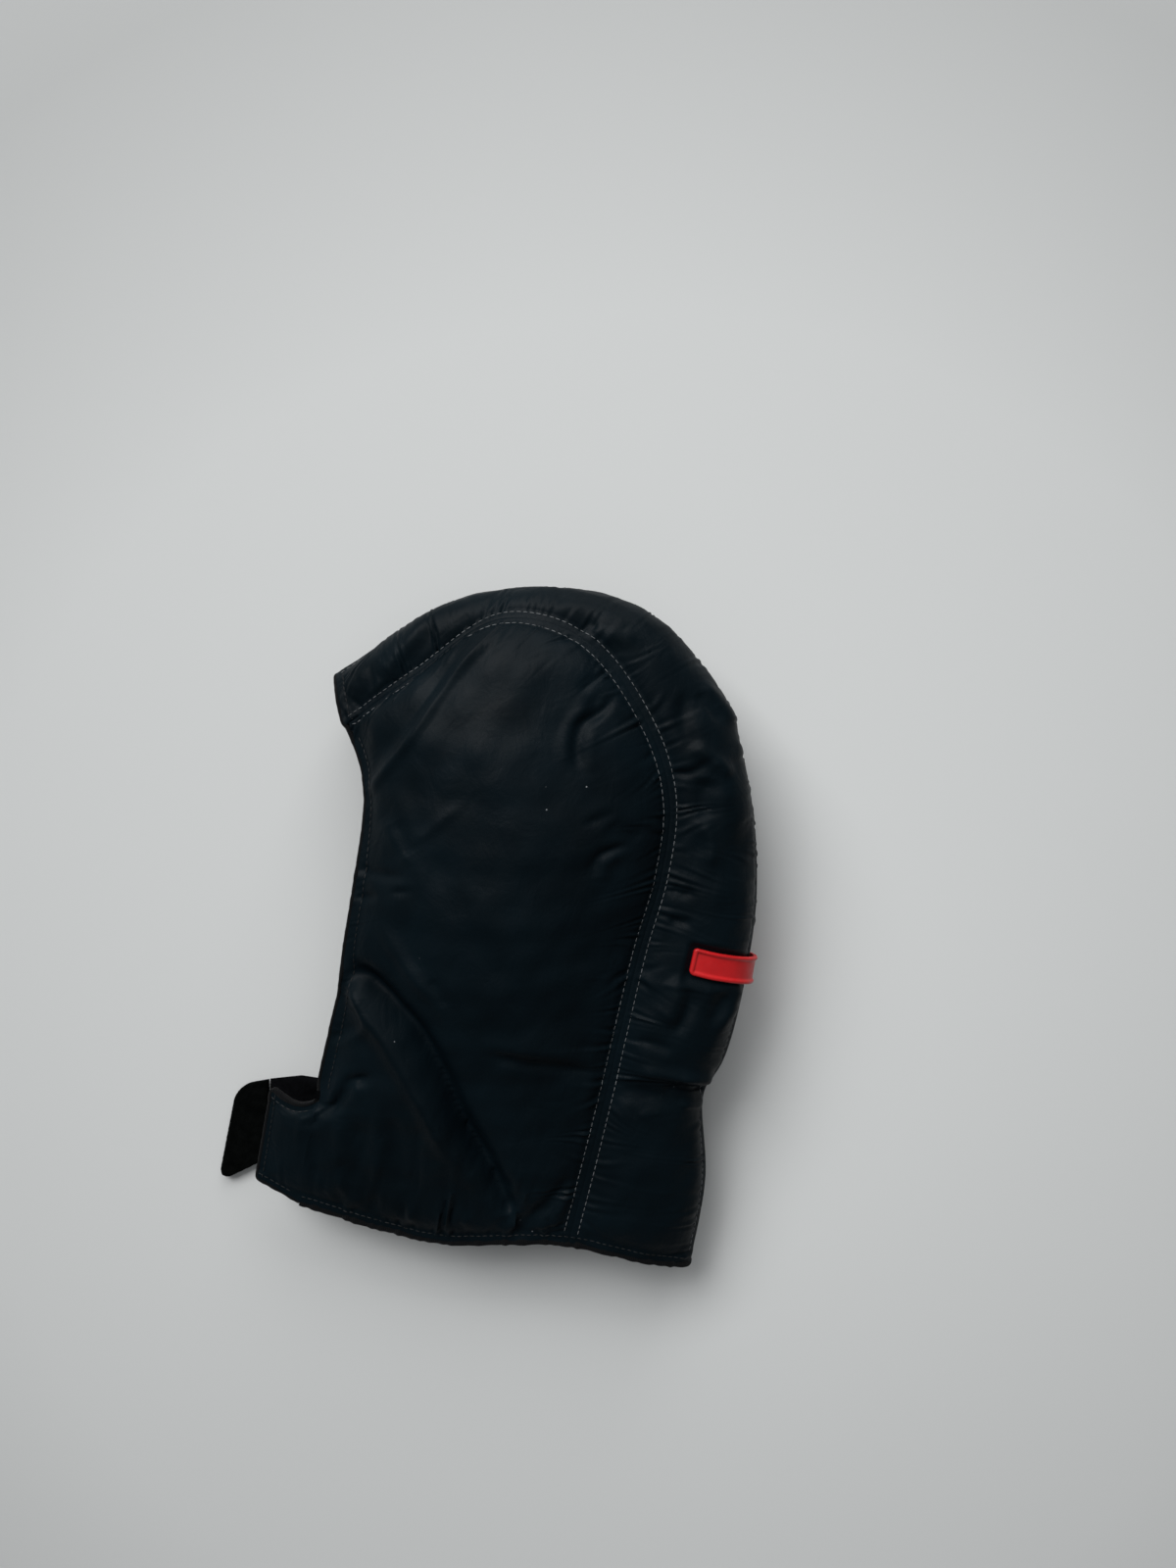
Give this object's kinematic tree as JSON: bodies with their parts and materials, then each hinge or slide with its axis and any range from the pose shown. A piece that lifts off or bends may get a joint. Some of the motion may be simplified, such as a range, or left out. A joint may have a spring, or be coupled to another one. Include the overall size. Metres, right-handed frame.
{
  "type": "balaclava",
  "caption": "Padded nylon hood lying on its side, with an oval face opening, a short neck, crossing throat flaps, a gathered nape and a rubber tab at the back.",
  "frame": {"origin": "on the surface it lies on, under the middle of its bounding box", "axes": "+X from the face opening to the back of the head, +Y from the neck hem to the crown, +Z from the wearer's right to the left, up as it lies"},
  "size_m": [0.2838, 0.3484, 0.0923],
  "materials": {
    "nylon_shell": "black woven nylon, semi-gloss",
    "wadding": "white polyester wadding",
    "fleece_lining": "black brushed fleece, matte",
    "edge_binding": "black knitted binding, matte",
    "nape_elastic": "braided flat elastic",
    "elastic_casing": "black tape, matte",
    "red_rubber": "moulded red rubber, satin",
    "hook_patch": "black hook tape",
    "loop_patch": "black loop tape",
    "label": "white satin ribbon, blank"
  },
  "bodies": {
    "hood": {"left_side_lining": "fleece_lining", "left_side_wadding": "wadding", "left_side_shell": "nylon_shell", "left_back_lining": "fleece_lining", "left_back_wadding": "wadding", "left_back_shell": "nylon_shell", "right_back_lining": "fleece_lining", "right_back_wadding": "wadding", "right_back_shell": "nylon_shell", "right_side_lining": "fleece_lining", "right_side_wadding": "wadding", "right_side_shell": "nylon_shell", "nape_elastic": "nape_elastic", "nape_elastic_casing": "elastic_casing", "care_label": "label", "rubber_tab": "red_rubber", "face_binding": "edge_binding", "hem_binding": "edge_binding", "right_flap_shell": "nylon_shell", "right_flap_wadding": "wadding", "right_flap_lining": "fleece_lining"},
    "left_flap": {"left_flap_lining": "fleece_lining", "left_flap_wadding": "wadding", "left_flap_shell": "nylon_shell", "hook_patch": "hook_patch", "left_flap_binding": "edge_binding"},
    "right_tab": {"right_tab_shell": "nylon_shell", "right_tab_lining": "fleece_lining", "loop_patch": "loop_patch"}
  },
  "joints": [
    {"name": "left_flap_lift", "type": "hinge", "parent": "hood", "child": "left_flap", "pos_m": [-0.0796, -0.0843, 0.0493], "axis": [0.2269, 0.9532, 0.1997], "range_deg": [0, 90]},
    {"name": "right_tab_fold", "type": "hinge", "parent": "hood", "child": "right_tab", "pos_m": [-0.1158, -0.1045, 0.0054], "axis": [0, 1, 0], "range_deg": [0, 90]}
  ]
}
